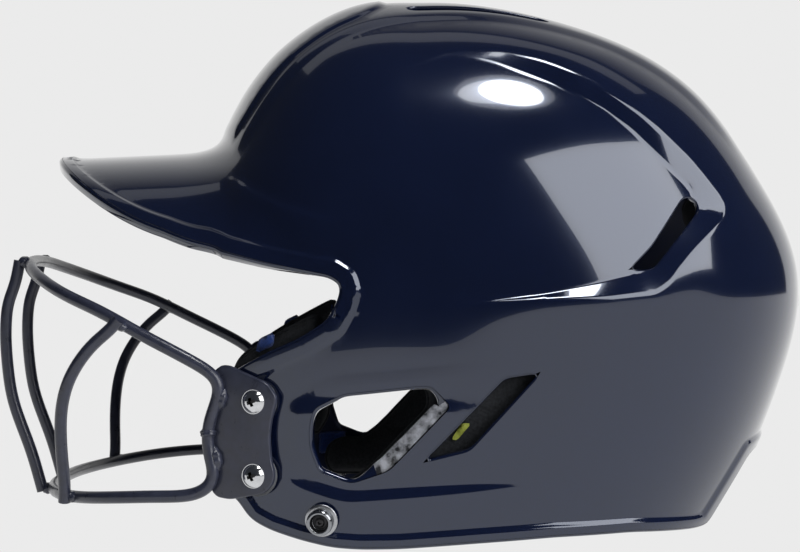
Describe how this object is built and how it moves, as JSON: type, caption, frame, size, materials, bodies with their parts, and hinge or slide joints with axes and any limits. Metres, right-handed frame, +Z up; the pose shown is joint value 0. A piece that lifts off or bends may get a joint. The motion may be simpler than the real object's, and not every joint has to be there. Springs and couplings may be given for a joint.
{
  "type": "batting helmet with face guard",
  "caption": "Hard-shell batting helmet with a visor, ear flaps, vents, foam pads and a welded wire face guard bolted to both cheeks.",
  "frame": {"origin": "on the plane of symmetry, level with the lowest edge of the shell, midway between the front of the guard and the back of the shell", "axes": "+X to the wearer's left, -Y to the front where the face looks, +Z up"},
  "size_m": [0.2054, 0.3265, 0.2132],
  "materials": {
    "shell": "high gloss moulded shell",
    "guard_wire": "semi-gloss powder coat",
    "spacer": "matt grey rubber",
    "screw": "polished",
    "nut": "zinc plated",
    "stud_washer": "satin",
    "stud_head": "nickel plated",
    "pad": "fabric-covered foam",
    "patch": "hook-and-loop tape"
  },
  "bodies": {
    "root": {"shell": "shell", "guard_frame": "guard_wire", "centre_bar_left": "guard_wire", "centre_bar_right": "guard_wire", "side_bar_left": "guard_wire", "side_bar_right": "guard_wire", "guard_plate_left": "guard_wire", "guard_plate_right": "guard_wire", "spacer_upper_left": "spacer", "spacer_lower_left": "spacer", "spacer_upper_right": "spacer", "spacer_lower_right": "spacer", "screw_upper_left": "screw", "screw_lower_left": "screw", "screw_upper_right": "screw", "screw_lower_right": "screw", "nut_upper_left": "nut", "nut_lower_left": "nut", "nut_upper_right": "nut", "nut_lower_right": "nut", "stud_washer_left": "stud_washer", "stud_washer_right": "stud_washer", "stud_head_left": "stud_head", "stud_head_right": "stud_head", "stud_nut_left": "nut", "stud_nut_right": "nut", "forehead_pad": "pad", "crown_pad": "pad", "rear_pad": "pad", "temple_pad_left": "pad", "temple_pad_right": "pad", "ear_pad_left": "pad", "ear_pad_right": "pad", "cheek_pad_left": "pad", "cheek_pad_right": "pad", "nape_pad_left": "pad", "nape_pad_right": "pad", "patch_forehead": "patch", "patch_rear": "patch", "patch_crown": "patch", "patch_temple_left": "patch", "patch_temple_right": "patch", "patch_ear_left": "patch", "patch_ear_right": "patch", "patch_nape_left": "patch", "patch_nape_right": "patch"}
  },
  "joints": []
}
